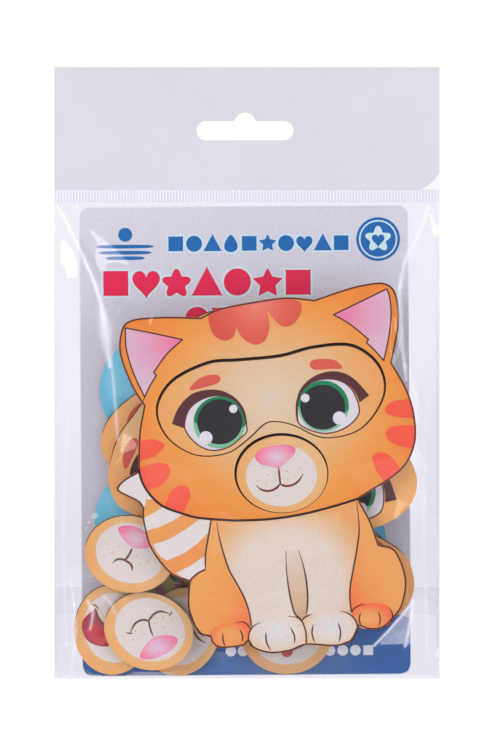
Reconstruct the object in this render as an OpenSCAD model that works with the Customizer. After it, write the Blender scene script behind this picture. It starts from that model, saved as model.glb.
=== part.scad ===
// Hang-up bag with a wooden kitten puzzle: a board with changeable eyes and muzzle, loose spares, discs and a card.
// The bag hangs by its slot. +Z is up, the front faces -Y, the origin is the centre of the slot's round bump.
// Every flat piece is drawn in the X-Z plane and given its thickness along -Y.

/* [Bag] */
// Width of the flat bag from its left edge, mm
bag_left = 62.7; // [55:0.1:75]
// Width of the flat bag to its right edge from the slot's centre, mm
bag_right = 64.0; // [55:0.1:75]
// Height of the bag's top edge above the slot's centre, mm
bag_top = 18.5; // [14:0.5:30]
// Bottom of the pocket below the slot's centre, mm
bag_bottom = 182.6; // [150:0.1:220]
// Wall of the clear film, mm
film_t = 0.2; // [0.1:0.05:0.5]
// How far the pocket's front stands off its back, mm
pocket_depth = 19.5; // [12:0.5:30]

/* [Header] */
// Thickness of the header strip, mm
header_t = 0.5; // [0.2:0.1:1]
// Depth of the header's lower edge below the slot's centre, mm
header_bottom = 21.9; // [18:0.1:30]
// Width of the hanging slot, mm
slot_w = 32; // [25:0.5:36]
// Height of the hanging slot, mm
slot_h = 6.4; // [5:0.1:10]
// Centre line of the slot below the origin, mm
slot_drop = 2.4; // [0:0.1:5]
// Radius of the round bump in the slot's upper edge, mm
bump_r = 3.6; // [3:0.1:6]

/* [Ribbed seal] */
// Height of the welded ribbed band, mm
seal_h = 4.0; // [2:0.1:8]
// Distance between two ribs, mm
rib_pitch = 1.0; // [0.6:0.1:2]
// Height of a rib off the band, mm
rib_h = 0.25; // [0.1:0.05:0.5]

/* [Closing flap] */
// Length of the flap that is folded up the back, mm
flap_h = 30; // [15:1:50]
// Height of the glue strip on the flap, mm
glue_h = 8; // [4:1:15]

/* [Backing card] */
// Width of the card, mm
card_w = 108.3; // [90:0.1:120]
// Height of the card, mm
card_h = 154.4; // [120:0.1:170]
// Thickness of the card, mm
card_t = 0.5; // [0.3:0.1:1]
// Corner radius of the card, mm
card_r = 3.5; // [0:0.5:8]
// Lean of the card in the pocket, degrees
card_lean = 0.4; // [-2:0.1:2]

/* [Wooden pieces] */
// Thickness of the wooden sheet, mm
wood_t = 2.5; // [2:0.1:4]
// Air between two layers of the pile, mm
layer_gap = 0.1; // [0.05:0.05:0.5]
// Radius of a blue disc, mm
disc_r = 18; // [12:0.5:25]
// Half the width of a muzzle insert, mm
muzzle_a = 14.85; // [10:0.05:20]
// Half the height of a muzzle insert, mm
muzzle_b = 12.6; // [8:0.05:18]
// Play all round an insert in its cut-out, mm
play = 0.45; // [0.2:0.05:1]
// How far an insert drops in its cut-out when the bag hangs, mm
settle = 0.35; // [0:0.05:0.4]
// How far to the right the muzzle insert sits in its cut-out, mm
muzzle_side = 0.2; // [-0.25:0.05:0.25]

/* [Hidden] */
$fn = 96;
pocket_top = header_bottom + seal_h;
bag_w = bag_left + bag_right;
layer = wood_t + layer_gap;
// Front-to-back place of each layer: 1 lies on the card, 5 is the board's base, 6 its face.
function back_of(n) = n < 6 ? 1 + (n - 1) * layer : 1 + 4 * layer + wood_t;

// A smooth run through its points that keeps its two end points as corners.
function lerp3(a, b, c, d, t) =
    0.5 * ((2 * b) + (c - a) * t + (2 * a - 5 * b + 4 * c - d) * t * t + (3 * b - a - 3 * c + d) * t * t * t);
function run(p, n = 4) =
    let (m = len(p), q = concat([2 * p[0] - p[1]], p, [2 * p[m - 1] - p[m - 2]]))
    [for (i = [0 : m - 2]) for (k = [0 : n - 1]) lerp3(q[i], q[i + 1], q[i + 2], q[i + 3], k / n)];
// A smooth closed loop through its points.
function loop(p, n = 4) =
    let (m = len(p))
    [for (i = [0 : m - 1]) for (k = [0 : n - 1])
        lerp3(p[(i + m - 1) % m], p[i], p[(i + 1) % m], p[(i + 2) % m], k / n)];
// The same clockwise outline moved outwards by d.
function grow(p, d) =
    let (m = len(p))
    [for (i = [0 : m - 1])
        let (t = p[(i + 1) % m] - p[(i + m - 1) % m], l = norm(t)) p[i] + d * [-t[1], t[0]] / l];
function ellipse(a, b, c, lean, n = 72) =
    [for (i = [0 : n - 1]) let (u = -360 * i / n, x = a * cos(u), z = b * sin(u))
        [c[0] + x * cos(lean) - z * sin(lean), c[1] + x * sin(lean) + z * cos(lean)]];

// Kitten's outline, clockwise from its left ear, one run between each two corners.
left_ear = [[-32.9, -92.8], [-36.5, -87.2], [-40, -78.8], [-40.97, -73], [-39.8, -67.15], [-37.3, -65.05],
    [-33.1, -64.2], [-24.8, -63.8], [-14.3, -64.1]];
crown = [[-14.3, -64.1], [-8.1, -61.1], [4.9, -58.6], [13.8, -57.5], [22.6, -58.3]];
right_ear = [[22.6, -58.3], [33.8, -54.5], [40.1, -53.1], [44.3, -52.7], [47.2, -53.7], [49.1, -56.4],
    [50.1, -61.9], [49.9, -68.1], [47.8, -78.8]];
cheek = [[47.8, -78.8], [52.6, -87.3], [55.2, -96], [55.3, -105.3], [50.5, -114.1], [36.9, -123.1]];
flank = [[36.9, -123.1], [41, -130.6], [43.5, -137.9]];
thigh = [[43.5, -137.9], [49, -139.9], [52.5, -149.2], [51, -158.2], [47.6, -162.6], [44.9, -165],
    [41, -165.6], [37, -164.4]];
paws = [[37, -164.4], [35.7, -167.7], [33.4, -170.2], [28.4, -171], [19.9, -170.6], [14.9, -172.5],
    [8.4, -173.3], [2.9, -171.7], [1.1, -169.2]];
hind_paw = [[1.1, -169.2], [-0.8, -170.9], [-7.5, -171.6], [-10.4, -170.2], [-11.4, -167.8]];
left_thigh = [[-11.4, -167.8], [-15.2, -166.7], [-18.4, -159.2], [-18.6, -154.8], [-18.2, -149.9]];
tail = [[-18.2, -149.9], [-24.4, -147.3], [-30.7, -139.2], [-33.2, -130.2], [-33.3, -126]];
tail_tip = [[-33.3, -126], [-35.2, -123.8], [-41.6, -120.4], [-39.6, -117], [-34.7, -114.2]];
jaw = [[-34.7, -114.2], [-34.5, -102.4], [-32.9, -92.8]];
kitten = concat(run(left_ear), run(crown), run(right_ear), run(cheek), run(flank), run(thigh), run(paws),
    run(hind_paw), run(left_thigh), run(tail), run(tail_tip), run(jaw));

// Eye cut-out, clockwise, about the middle of the face.
face_at = [8.3, -91];
eye_hole = loop([[-10, 13.7], [-20.5, 12.7], [-32.3, 6.7], [-37.3, -2.5], [-33.9, -12], [-24.7, -17.9], [-14.3, -17.5],
    [-7.2, -12.9], [-1.6, -7.8], [2.6, -7.2], [7.6, -8.4], [17.6, -12.4], [29.7, -9.3], [37.2, 1.6],
    [35.6, 11.6], [26.8, 18.3], [14.3, 17.9], [3, 15]], 6);
eye_hole_cw = [for (i = [len(eye_hole) - 1 : -1 : 0]) eye_hole[i]];
eye_piece = grow(eye_hole_cw, -play);
muzzle_at = [11.85, -114.7];

function turned(p, at, a) = [for (q = p) at + [q[0] * cos(a) - q[1] * sin(a), q[0] * sin(a) + q[1] * cos(a)]];

// A flat piece from an X-Z outline, its back at y = -back.
module sheet_piece(outline, back, t = wood_t)
    translate([0, -back, 0]) rotate([90, 0, 0]) linear_extrude(t) polygon(outline);

// An eye insert lying in a layer, turned by a degrees.
module eye_shape(at, a, n) sheet_piece(turned(eye_piece, at, a), back_of(n));

// A muzzle insert lying in a layer, turned by a degrees.
module muzzle_shape(at, a, n) sheet_piece(ellipse(muzzle_a, muzzle_b, at, a), back_of(n));

module disc_shape(at, n)
    translate([at[0], -back_of(n), at[1]]) rotate([90, 0, 0]) cylinder(r = disc_r, h = wood_t);

// Bag

module header_strip() color([0.87, 0.87, 0.91]) difference() {
    translate([-bag_left, -header_t, -header_bottom]) cube([bag_w, header_t, header_bottom + bag_top]);
    translate([-slot_w / 2 + slot_h / 2, -2, -slot_drop - slot_h / 2]) cube([slot_w - slot_h, 4, slot_h]);
    for (s = [-1, 1]) translate([s * (slot_w - slot_h) / 2, 2, -slot_drop])
        rotate([90, 0, 0]) cylinder(d = slot_h, h = 4);
    translate([0, 2, 0]) rotate([90, 0, 0]) cylinder(r = bump_r, h = 4);
}

module ribbed_seal() color([0.94, 0.93, 0.97]) {
    n = floor(bag_w / rib_pitch);
    first = -bag_left + (bag_w - n * rib_pitch) / 2;
    ribs = [for (i = [0 : n - 1]) for (c = [[0.2, 0], [0.35, 1], [0.65, 1], [0.8, 0]])
        [first + (i + c[0]) * rib_pitch, -header_t - c[1] * rib_h]];
    translate([0, 0, -pocket_top]) linear_extrude(seal_h)
        polygon(concat([[-bag_left, 0], [-bag_left, -header_t]], ribs, [[bag_right, -header_t], [bag_right, 0]]));
}

module bag_back_film() color([0.9, 0.9, 0.95, 0.4])
    translate([-bag_left, -film_t, -bag_bottom]) cube([bag_w, film_t, bag_bottom - pocket_top]);

// Four steps of the pocket from its rim to its flat front: depth, left, right, bottom, top.
steps = [
    [film_t, bag_left, bag_right, bag_bottom, pocket_top],
    [1.6, bag_left - 0.8, bag_right - 0.8, bag_bottom - 0.05, pocket_top + 0.4],
    [6.4, bag_left - 2.1, bag_right - 2.2, bag_bottom - 0.3, pocket_top + 3.5],
    [pocket_depth, bag_left - 10.7, bag_right - 6, bag_bottom - 7.6, pocket_top + 22]];

// The pocket's bulge, with its walls moved inwards by t.
module bulge(t) hull() for (s = steps)
    translate([-s[1] + t, -s[0] + (s[0] > film_t ? t : 0), -s[3] + t])
        cube([s[1] + s[2] - 2 * t, 0.001, s[3] - s[4] - 2 * t]);

module bag_front_film() color([0.95, 0.95, 1, 0.25]) difference() {
    bulge(0);
    translate([0, 0.0005, 0]) bulge(film_t);
}

module closing_flap() color([0.92, 0.92, 0.97, 0.4]) {
    translate([-bag_left, 0.15, -bag_bottom - 0.1]) cube([bag_w, film_t, flap_h]);
    translate([-bag_left, 0.15, -bag_bottom - 0.16]) rotate([0, 90, 0]) cylinder(r = 0.14, h = bag_w);
}

module flap_adhesive() color([0.85, 0.85, 0.8, 0.6])
    translate([-bag_left + 1, 0.03, -bag_bottom + flap_h - glue_h - 1]) cube([bag_w - 2, 0.12, glue_h]);

// Card

module backing_card() color([0.84, 0.82, 0.87])
    translate([0.05, -0.4, -104.4]) rotate([0, -card_lean, 0]) {
        translate([-card_w / 2 + card_r, -card_t, -card_h / 2]) cube([card_w - 2 * card_r, card_t, card_h]);
        translate([-card_w / 2, -card_t, -card_h / 2 + card_r]) cube([card_w, card_t, card_h - 2 * card_r]);
        for (i = [-1, 1], j = [-1, 1])
            translate([i * (card_w / 2 - card_r), 0, j * (card_h / 2 - card_r)])
                rotate([90, 0, 0]) cylinder(r = card_r, h = card_t);
    }

// Kitten board: a base and a face with two cut-outs, glued together

module kitten_base_layer() color([0.86, 0.7, 0.5]) sheet_piece(kitten, back_of(5));

module kitten_face_layer() color([0.95, 0.62, 0.3]) translate([0, -back_of(6), 0]) rotate([90, 0, 0])
    linear_extrude(wood_t) difference() {
        polygon(kitten);
        polygon(turned(eye_hole_cw, face_at, 0));
        polygon(ellipse(muzzle_a + play, muzzle_b + play, muzzle_at, 0));
    }

// Inserts in the board

module eye_insert_1() color([0.93, 0.75, 0.5]) eye_shape(face_at - [0, settle], 0, 6);
module muzzle_insert_1() color([0.93, 0.7, 0.45]) muzzle_shape(muzzle_at + [muzzle_side, -settle], 0, 6);

// Loose inserts behind the board

module eye_insert_2() color([0.93, 0.66, 0.38]) eye_shape([-12.28, -94.82], 15.3, 2);
module eye_insert_3() color([0.93, 0.66, 0.38]) eye_shape([-19.4, -95.84], 50.2, 3);
module eye_insert_4() color([0.93, 0.66, 0.38]) eye_shape([19.13, -112.9], -22.6, 4);
module eye_insert_5() color([0.93, 0.66, 0.38]) eye_shape([20.6, -134.8], -50.1, 2);
module eye_insert_6() color([0.93, 0.66, 0.38]) eye_shape([20.2, -140.4], -36.1, 3);

module muzzle_insert_2() color([0.93, 0.72, 0.47]) muzzle_shape([-37.6, -141.2], -10, 4);
module muzzle_insert_3() color([0.93, 0.72, 0.47]) muzzle_shape([-43.5, -166.2], 90, 2);
module muzzle_insert_4() color([0.93, 0.72, 0.47]) muzzle_shape([-31.5, -166.5], 160, 3);
module muzzle_insert_5() color([0.93, 0.72, 0.47]) muzzle_shape([-20.9, -167], 70, 1);
module muzzle_insert_6() color([0.93, 0.72, 0.47]) muzzle_shape([13.7, -168.4], 0, 1);

// Blue discs

module blue_disc_1() color([0.37, 0.69, 0.8]) disc_shape([-29.8, -87.7], 1);
module blue_disc_2() color([0.37, 0.69, 0.8]) disc_shape([-31.4, -130.6], 1);
module blue_disc_3() color([0.37, 0.69, 0.8]) disc_shape([28.5, -138.4], 1);

header_strip();
ribbed_seal();
bag_back_film();
bag_front_film();
closing_flap();
flap_adhesive();
backing_card();
kitten_base_layer();
kitten_face_layer();
eye_insert_1();
eye_insert_2();
eye_insert_3();
eye_insert_4();
eye_insert_5();
eye_insert_6();
muzzle_insert_1();
muzzle_insert_2();
muzzle_insert_3();
muzzle_insert_4();
muzzle_insert_5();
muzzle_insert_6();
blue_disc_1();
blue_disc_2();
blue_disc_3();
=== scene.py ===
import itertools
import math

import bpy
import numpy as np
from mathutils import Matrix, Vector
from mathutils.bvhtree import BVHTree
from mathutils.geometry import tessellate_polygon


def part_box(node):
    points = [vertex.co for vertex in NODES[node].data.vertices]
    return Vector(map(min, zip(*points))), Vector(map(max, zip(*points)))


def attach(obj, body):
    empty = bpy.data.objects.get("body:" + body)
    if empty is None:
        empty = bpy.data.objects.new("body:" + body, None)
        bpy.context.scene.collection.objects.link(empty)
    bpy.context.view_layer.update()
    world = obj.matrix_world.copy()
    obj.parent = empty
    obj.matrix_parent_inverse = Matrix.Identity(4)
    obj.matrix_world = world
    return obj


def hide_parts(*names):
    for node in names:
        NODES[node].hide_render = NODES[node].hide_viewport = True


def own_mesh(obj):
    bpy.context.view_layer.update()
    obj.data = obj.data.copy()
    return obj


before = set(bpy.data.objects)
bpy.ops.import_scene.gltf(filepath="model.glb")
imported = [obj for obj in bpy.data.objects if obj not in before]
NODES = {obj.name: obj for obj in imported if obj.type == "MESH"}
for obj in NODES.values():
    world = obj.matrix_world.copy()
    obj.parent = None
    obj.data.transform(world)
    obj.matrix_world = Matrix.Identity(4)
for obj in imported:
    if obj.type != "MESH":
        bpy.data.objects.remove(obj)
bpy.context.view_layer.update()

MM = 0.001
STEP = 0.014  # one layer of printed ink, mm


def box_mm(node):
    lo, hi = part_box(node)
    return np.array(lo) / MM, np.array(hi) / MM


def lin(c):
    return [(v / 255 / 12.92 if v <= 10.3 else ((v / 255 + 0.055) / 1.055) ** 2.4) for v in c[:3]] + [1.0]


# ---------------------------------------------------------------- camera and light

SENSOR = 36  # width of the camera's sensor, mm
CAMERA_AWAY = 1300  # from the middle of the bag, mm
VIEW_WIDTH = 245.4  # what the picture spans at the bag, mm
centre = Vector((1.64, -8.0, -82.8)) * MM
cam_data = bpy.data.cameras.new("camera")
cam = bpy.data.objects.new("camera", cam_data)
bpy.context.scene.collection.objects.link(cam)
cam_data.sensor_width = SENSOR
cam_data.lens = SENSOR * CAMERA_AWAY / VIEW_WIDTH
cam_data.clip_start, cam_data.clip_end = 0.05, 20
cam.location = centre + Vector((0, -CAMERA_AWAY * MM, 0))
cam.rotation_euler = (math.radians(90), 0, 0)
bpy.context.scene.camera = cam
bpy.context.scene.view_settings.view_transform = "Standard"
bpy.context.scene.view_settings.look = "None"


def area(name, at, aim, size, power, colour=(1, 1, 1)):
    d = bpy.data.lights.new(name, "AREA")
    d.shape, d.size, d.size_y = "RECTANGLE", size[0], size[1]
    d.energy, d.color = power, colour
    o = bpy.data.objects.new(name, d)
    bpy.context.scene.collection.objects.link(o)
    o.location = at
    o.rotation_euler = (Vector(aim) - Vector(at)).to_track_quat("-Z", "Y").to_euler()
    o.visible_camera = False
    return o


area("softbox_left", (-1.1, -1.1, 0.55), (0, 0, -0.09), (0.5, 0.9), 9.0)
area("softbox_right", (1.25, -0.8, 0.0), (0, 0, -0.09), (0.35, 0.9), 4.5, (0.96, 0.97, 1))
area("softbox_back", (0.6, 1.2, 0.7), (0, 0, -0.09), (0.9, 0.9), 6.0)

world = bpy.data.worlds.new("world")
bpy.context.scene.world = world
world.use_nodes = True
nt = world.node_tree
nt.nodes.clear()
path = nt.nodes.new("ShaderNodeLightPath")
lit = nt.nodes.new("ShaderNodeBackground")
lit.inputs["Color"].default_value = (0.97, 0.97, 1.0, 1)
lit.inputs["Strength"].default_value = 0.80
dim = nt.nodes.new("ShaderNodeBackground")
dim.inputs["Color"].default_value = (0.95, 0.95, 1.0, 1)
dim.inputs["Strength"].default_value = 0.2
seen = nt.nodes.new("ShaderNodeBackground")
seen.inputs["Strength"].default_value = 1.0
seen.inputs["Color"].default_value = (1, 1, 1, 1)
m1, m2 = nt.nodes.new("ShaderNodeMixShader"), nt.nodes.new("ShaderNodeMixShader")
out = nt.nodes.new("ShaderNodeOutputWorld")
nt.links.new(path.outputs["Is Glossy Ray"], m1.inputs[0])
nt.links.new(lit.outputs[0], m1.inputs[1])
nt.links.new(dim.outputs[0], m1.inputs[2])
nt.links.new(path.outputs["Is Camera Ray"], m2.inputs[0])
nt.links.new(m1.outputs[0], m2.inputs[1])
nt.links.new(seen.outputs[0], m2.inputs[2])
nt.links.new(m2.outputs[0], out.inputs["Surface"])


# ---------------------------------------------------------------- materials


class Tree:
    """Short names for building one material's nodes."""

    def __init__(self, name):
        self.mat = bpy.data.materials.new(name)
        self.mat.use_nodes = True
        self.t = self.mat.node_tree
        self.t.nodes.clear()
        self.out = self.t.nodes.new("ShaderNodeOutputMaterial")

    def node(self, kind, **values):
        n = self.t.nodes.new("ShaderNode" + kind)
        for k, v in values.items():
            if hasattr(n, k) and k not in n.inputs:
                setattr(n, k, v)
            else:
                n.inputs[k].default_value = v
        return n

    def link(self, a, b):
        self.t.links.new(a, b)
        return b

    def coords(self):
        return self.node("TexCoord").outputs["Object"]

    def math(self, op, a, b=None, clamp=False):
        n = self.node("Math", operation=op, use_clamp=clamp)
        for i, v in enumerate([a, b]):
            if v is None:
                continue
            if isinstance(v, (int, float)):
                n.inputs[i].default_value = v
            else:
                self.link(v, n.inputs[i])
        return n.outputs[0]

    def ramp(self, fac, stops):
        n = self.node("ValToRGB")
        e = n.color_ramp.elements
        while len(e) < len(stops):
            e.new(0.5)
        for el, (p, c) in zip(e, stops):
            el.position = p
            el.color = lin(c)
        self.link(fac, n.inputs[0])
        return n.outputs[0]

    def mix(self, fac, a, b, blend="MIX"):
        n = self.node("Mix", data_type="RGBA", blend_type=blend)
        for s, v in ((n.inputs[0], fac), (n.inputs[6], a), (n.inputs[7], b)):
            if isinstance(v, (int, float)):
                s.default_value = v
            elif isinstance(v, (tuple, list)):
                s.default_value = v
            else:
                self.link(v, s)
        return n.outputs[2]

    def noise(self, scale, detail=2.0, rough=0.5, stretch=(1, 1, 1)):
        m = self.node("Mapping")
        m.inputs["Scale"].default_value = stretch
        self.link(self.coords(), m.inputs["Vector"])
        n = self.node("TexNoise", Scale=scale, Detail=detail, Roughness=rough)
        self.link(m.outputs[0], n.inputs["Vector"])
        return n.outputs["Fac"]

    def radial(self, c, r):
        """0 at c, 1 on the ellipse with half-axes r, in mm in the X-Z plane."""
        m = self.node("Mapping", vector_type="POINT")
        m.inputs["Scale"].default_value = (1 / (r[0] * MM), 0, 1 / (r[1] * MM))
        m.inputs["Location"].default_value = (-c[0] / r[0], 0, -c[1] / r[1])
        self.link(self.coords(), m.inputs["Vector"])
        v = self.node("VectorMath", operation="LENGTH")
        self.link(m.outputs[0], v.inputs[0])
        return v.outputs["Value"]

    def along(self, a, b):
        """0 at point a, 1 at point b, in mm in the X-Z plane."""
        d = np.array(b, float) - np.array(a, float)
        n2 = float(d @ d)
        v = self.node("VectorMath", operation="DOT_PRODUCT")
        self.link(self.coords(), v.inputs[0])
        v.inputs[1].default_value = (d[0] / n2 / MM, 0, d[1] / n2 / MM)
        return self.math("SUBTRACT", v.outputs["Value"], float(np.array(a) @ d / n2), clamp=True)


def printed(name, colour, rough=0.42, edge=False, deep=1.0):
    """Satin ink on sanded plywood, with print speckle. colour is an RGB triple or a function of the tree."""
    t = Tree(name)
    c = colour(t) if callable(colour) else None
    if c is None:
        n = t.node("RGB")
        n.outputs[0].default_value = lin(colour)
        c = n.outputs[0]
    speck = t.ramp(t.noise(3000, 2, 0.6), [(0.28, (226, 226, 226)), (0.72, (255, 255, 255))])
    c = t.mix(0.8, c, speck, "MULTIPLY")
    fibre = t.ramp(t.noise(240, 2, 0.5, (1, 1, 7)), [(0.3, (247, 246, 244)), (0.7, (255, 255, 255))])
    c = t.mix(0.5, c, fibre, "MULTIPLY")
    if edge:
        wood = t.ramp(t.noise(260, 3, 0.6, (1, 8, 1)),
            [(0.25, (96, 60, 34)), (0.6, (150, 104, 62)), (0.85, (190, 144, 94))])
        g = t.node("TexCoord")
        s = t.node("SeparateXYZ")
        t.link(g.outputs["Normal"], s.inputs[0])
        front = t.math("GREATER_THAN", t.math("MULTIPLY", s.outputs["Y"], -1.0), 0.55)
        back = t.math("GREATER_THAN", s.outputs["Y"], 0.55)
        plain = t.ramp(t.noise(70, 4, 0.6, (1, 1, 10)), [(0.25, (196, 160, 116)), (0.75, (222, 192, 150))])
        c = t.mix(front, t.mix(back, wood, plain), c)
    b = t.node("BsdfPrincipled", Roughness=rough)
    b.inputs["Specular IOR Level"].default_value = 0.35
    t.link(c, b.inputs["Base Color"])
    rr = t.math("ADD", t.math("MULTIPLY", t.noise(420, 2), 0.16), rough - 0.08)
    t.link(rr, b.inputs["Roughness"])
    bump = t.node("Bump", Strength=0.22 * deep, Distance=0.00006)
    t.link(t.noise(1100, 3, 0.6, (1, 1, 3)), bump.inputs["Height"])
    t.link(bump.outputs[0], b.inputs["Normal"])
    t.link(b.outputs[0], t.out.inputs["Surface"])
    return t.mat


def bare_wood(name):
    t = Tree(name)
    g = t.node("TexCoord")
    s = t.node("SeparateXYZ")
    t.link(g.outputs["Normal"], s.inputs[0])
    flat = t.math("GREATER_THAN", t.math("ABSOLUTE", s.outputs["Y"]), 0.55)
    burnt = t.ramp(t.noise(260, 3, 0.6, (1, 8, 1)),
        [(0.25, (84, 52, 30)), (0.6, (136, 92, 54)), (0.85, (180, 134, 86))])
    plain = t.ramp(t.noise(60, 5, 0.62, (1, 1, 12)),
        [(0.25, (188, 150, 104)), (0.5, (208, 174, 128)), (0.8, (222, 192, 150))])
    c = t.mix(flat, burnt, plain)
    b = t.node("BsdfPrincipled")
    t.link(c, b.inputs["Base Color"])
    t.link(t.math("ADD", t.math("MULTIPLY", t.noise(300, 2), 0.2), 0.5), b.inputs["Roughness"])
    bump = t.node("Bump", Strength=0.4, Distance=0.0001)
    t.link(t.noise(300, 4, 0.6, (1, 1, 10)), bump.inputs["Height"])
    t.link(bump.outputs[0], b.inputs["Normal"])
    t.link(b.outputs[0], t.out.inputs["Surface"])
    return t.mat


def card_print(name, colour, rough=0.5):
    t = Tree(name)
    c = colour(t) if callable(colour) else None
    if c is None:
        n = t.node("RGB")
        n.outputs[0].default_value = lin(colour)
        c = n.outputs[0]
    c = t.mix(0.5, c, t.ramp(t.noise(900, 2), [(0.3, (236, 236, 236)), (0.7, (255, 255, 255))]), "MULTIPLY")
    b = t.node("BsdfPrincipled")
    b.inputs["Specular IOR Level"].default_value = 0.3
    t.link(c, b.inputs["Base Color"])
    t.link(t.math("ADD", t.math("MULTIPLY", t.noise(200, 2), 0.12), rough - 0.06), b.inputs["Roughness"])
    bump = t.node("Bump", Strength=0.1, Distance=0.00004)
    t.link(t.noise(1600, 2), bump.inputs["Height"])
    t.link(bump.outputs[0], b.inputs["Normal"])
    t.link(b.outputs[0], t.out.inputs["Surface"])
    return t.mat


def film(name, haze=0.005, tint=(246, 246, 255), rough=0.06, crinkle=0.25, scale=55, crease_highlights=False,
    low=None, clean=False):
    """Clear film, mirror-like at a slant, with a trace of haze. A switch adds white lines along the folds
    from a point attribute, painted highlights; a second colour greys the film towards the bottom, painted
    shade.
    """
    t = Tree(name)
    clear = t.node("BsdfTransparent")
    clear.inputs["Color"].default_value = (1, 1, 1, 1) if clean else (0.985, 0.98, 0.995, 1)
    # greyer towards the bottom: painted shade
    if low:
        t.link(t.ramp(t.along((0, -88), (0, -135)), [(0, (247, 246, 253)), (1, low)]),
            clear.inputs["Color"])
    bump = t.node("Bump", Strength=crinkle, Distance=0.0006)
    t.link(t.noise(scale, 3, 0.55), bump.inputs["Height"])
    # milky layer: the film's own haze, and the painted highlights along the folds
    haze_and_highlight = t.node("BsdfPrincipled")
    haze_and_highlight.inputs["Base Color"].default_value = lin(tint)
    haze_and_highlight.inputs["Specular IOR Level"].default_value = 0.5
    t.link(t.math("ADD", t.math("MULTIPLY", t.noise(30, 2), 0.05), rough + 0.1), haze_and_highlight.inputs["Roughness"])
    t.link(bump.outputs[0], haze_and_highlight.inputs["Normal"])
    shine = t.node("BsdfGlossy", Roughness=rough)
    shine.inputs["Color"].default_value = (1, 1, 1, 1)
    t.link(bump.outputs[0], shine.inputs["Normal"])
    facing = t.node("LayerWeight", Blend=0.5)
    t.link(bump.outputs[0], facing.inputs["Normal"])
    share = t.math("ADD", t.math("MULTIPLY", t.math("POWER", facing.outputs["Facing"], 5.0), 0.96), 0.03)
    inner = t.node("MixShader")
    t.link(share, inner.inputs[0])
    t.link(clear.outputs[0], inner.inputs[1])
    t.link(shine.outputs[0], inner.inputs[2])
    outer = t.node("MixShader", Fac=haze)
    # white lines along the folds, driven by the point attribute: painted highlights
    if crease_highlights:
        a = t.node("Attribute", attribute_name="fold")
        cloud = t.math("ADD", t.math("MULTIPLY", t.noise(160, 3, 0.6, (1, 1, 0.4)), 1.6), 0.1)
        t.link(t.math("ADD", t.math("MULTIPLY", a.outputs["Fac"], cloud, clamp=True), haze, clamp=True),
            outer.inputs[0])
    t.link(inner.outputs[0], outer.inputs[1])
    t.link(haze_and_highlight.outputs[0], outer.inputs[2])
    t.link(outer.outputs[0], t.out.inputs["Surface"])
    return t.mat


def radial(c, r, stops):
    return lambda t: t.ramp(t.radial(c, r), stops)


def along(a, b, stops):
    return lambda t: t.ramp(t.along(a, b), stops)


def head_field(t):
    r = t.radial((9, -92), (50, 44))
    return t.ramp(r, [(0.0, (229, 205, 172)), (0.35, (235, 190, 134)), (0.72, (244, 159, 72)),
        (1.0, (244, 140, 52))])


def ink(name, colour, **look):
    return printed(f"ink_{name}", colour, **look)


M = {
    "head": ink("head", head_field, edge=True),
    "outline": ink("outline", (88, 48, 44)),
    "dark": ink("dark", (54, 28, 28)),
    "line": ink("line", (104, 60, 50)),
    "cream": ink("cream", radial((14, -151), (29, 29),
        [(0, (230, 218, 206)), (0.6, (230, 213, 196)), (0.84, (235, 188, 138)), (1.0, (240, 168, 104))])),
    "paw_l": ink("paw_l", radial((10.6, -166), (11, 7.6),
        [(0, (226, 222, 222)), (0.6, (229, 217, 205)), (1, (239, 196, 150))])),
    "paw_r": ink("paw_r", radial((28.2, -164.6), (10, 7),
        [(0, (226, 222, 222)), (0.6, (229, 217, 205)), (1, (239, 196, 150))])),
    "thigh_l": ink("thigh_l", along((-16, -150), (3, -160),
        [(0, (243, 170, 92)), (0.55, (244, 160, 84)), (1.0, (252, 122, 66))])),
    "thigh_r": ink("thigh_r", along((33.5, -156), (46, -149),
        [(0, (252, 118, 62)), (0.5, (244, 156, 84)), (1.0, (243, 168, 94))])),
    "hind_l": ink("hind_l", radial((-5, -168), (6.5, 5),
        [(0, (243, 172, 98)), (0.6, (244, 158, 88)), (1, (253, 116, 66))])),
    "hind_r": ink("hind_r", radial((40.5, -162), (7, 4.6),
        [(0, (240, 172, 100)), (0.6, (244, 152, 86)), (1, (253, 112, 70))])),
    "groove": ink("groove", along((16, -140), (18.5, -162),
        [(0, (227, 211, 194)), (0.6, (222, 190, 158)), (1, (206, 164, 124))])),
    "tail_o": ink("tail_o", along((-28, -125), (-14, -147), [(0, (240, 166, 92)), (1, (245, 152, 80))])),
    "tail_c": ink("tail_c", (232, 224, 220)),
    "coral": ink("coral", (252, 92, 66)),
    "brow": ink("brow", (224, 92, 74)),
    "scallop": ink("scallop", radial((4, -59), (15, 15),
        [(0, (243, 136, 118)), (0.6, (231, 100, 80)), (1, (224, 86, 68))])),
    "ear_l": ink("ear_l", radial((-22, -72), (18, 15),
        [(0, (240, 122, 162)), (0.5, (232, 160, 188)), (1, (224, 188, 204))])),
    "ear_r": ink("ear_r", radial((31, -63), (18, 15),
        [(0, (240, 122, 162)), (0.5, (232, 160, 188)), (1, (224, 188, 204))])),
    "maroon": ink("maroon", (92, 44, 47)),
    "eyeline": ink("eyeline", (112, 40, 36)),
    "white": ink("white", (226, 222, 228)),
    "spark": ink("spark", (228, 224, 232)),
    "pupil": ink("pupil", (44, 41, 48), rough=0.4),
    "green": ink("green", (4, 138, 84)),
    "green_light": ink("green_light", (126, 198, 150)),
    "muzzle_in": ink("muzzle_in", (228, 218, 210)),
    "mouth_line": ink("mouth_line", (132, 52, 34)),
    "mouth_brown": ink("mouth_brown", (118, 62, 52)),
    "freckle": ink("freckle", (238, 182, 168)),
    "mouth_red": ink("mouth_red", (176, 62, 78)),
    "tongue": ink("tongue", (214, 58, 72)),
    # dark line drawn along the inserts' cut rims
    "dark_rim": printed("dark_rim_line", (58, 32, 22), rough=0.6),
    # painted shade for the gaps round the inserts
    "gap_shade": printed("painted_gap_shade", (66, 36, 27), rough=0.7),
    "wood": bare_wood("plain_plywood"),
}


# ---------------------------------------------------------------- drawing on flat faces


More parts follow.
